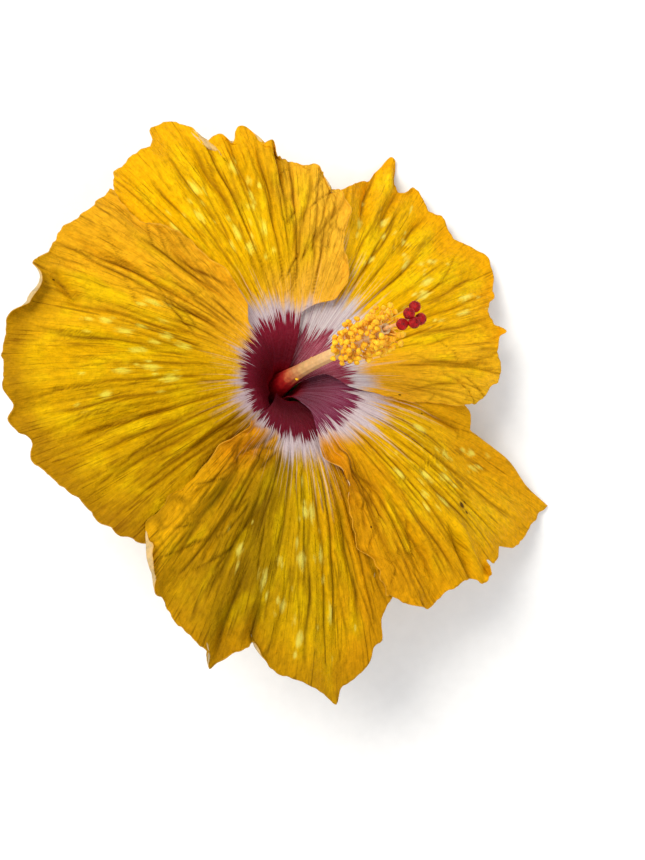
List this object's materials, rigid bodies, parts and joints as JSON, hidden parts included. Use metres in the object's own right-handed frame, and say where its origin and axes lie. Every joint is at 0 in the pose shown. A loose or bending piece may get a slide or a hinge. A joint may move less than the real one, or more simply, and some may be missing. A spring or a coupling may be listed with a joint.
{
  "type": "hibiscus flower",
  "caption": "Open yellow hibiscus bloom lying face up, with broad overlapping ruffled petals, a leaning stamen column, red stigma pads, a green calyx and a short cut stalk.",
  "frame": {"origin": "centre of the bounding box on the surface that the bloom lies on", "axes": "+Z up from the surface; +Y towards the top petal, so the tip of the column leans towards +X and a little to +Y; +X to the right seen from above with +Y up"},
  "size_m": [0.1398, 0.1484, 0.0735],
  "materials": {
    "petal_top": "fresh petal, satin with a crepe of fine radial wrinkles",
    "petal_upper_right": "fresh petal, satin with a crepe of fine radial wrinkles",
    "petal_lower_right": "fresh petal, satin with a crepe of fine radial wrinkles",
    "petal_bottom": "fresh petal, satin with a crepe of fine radial wrinkles",
    "petal_left": "fresh petal, satin with a crepe of fine radial wrinkles",
    "column": "smooth waxy tube with powdery pollen sacs",
    "pistil": "smooth style with velvety pads",
    "calyx": "matte leaf surface with fine down",
    "epicalyx": "matte leaf surface",
    "pedicel": "matte fibrous stalk"
  },
  "bodies": {
    "root": {"petal_top": "petal_top", "petal_upper_right": "petal_upper_right", "petal_lower_right": "petal_lower_right", "petal_bottom": "petal_bottom", "petal_left": "petal_left", "staminal_column": "column", "pistil": "pistil", "calyx": "calyx", "epicalyx": "epicalyx", "pedicel": "pedicel"}
  },
  "joints": []
}
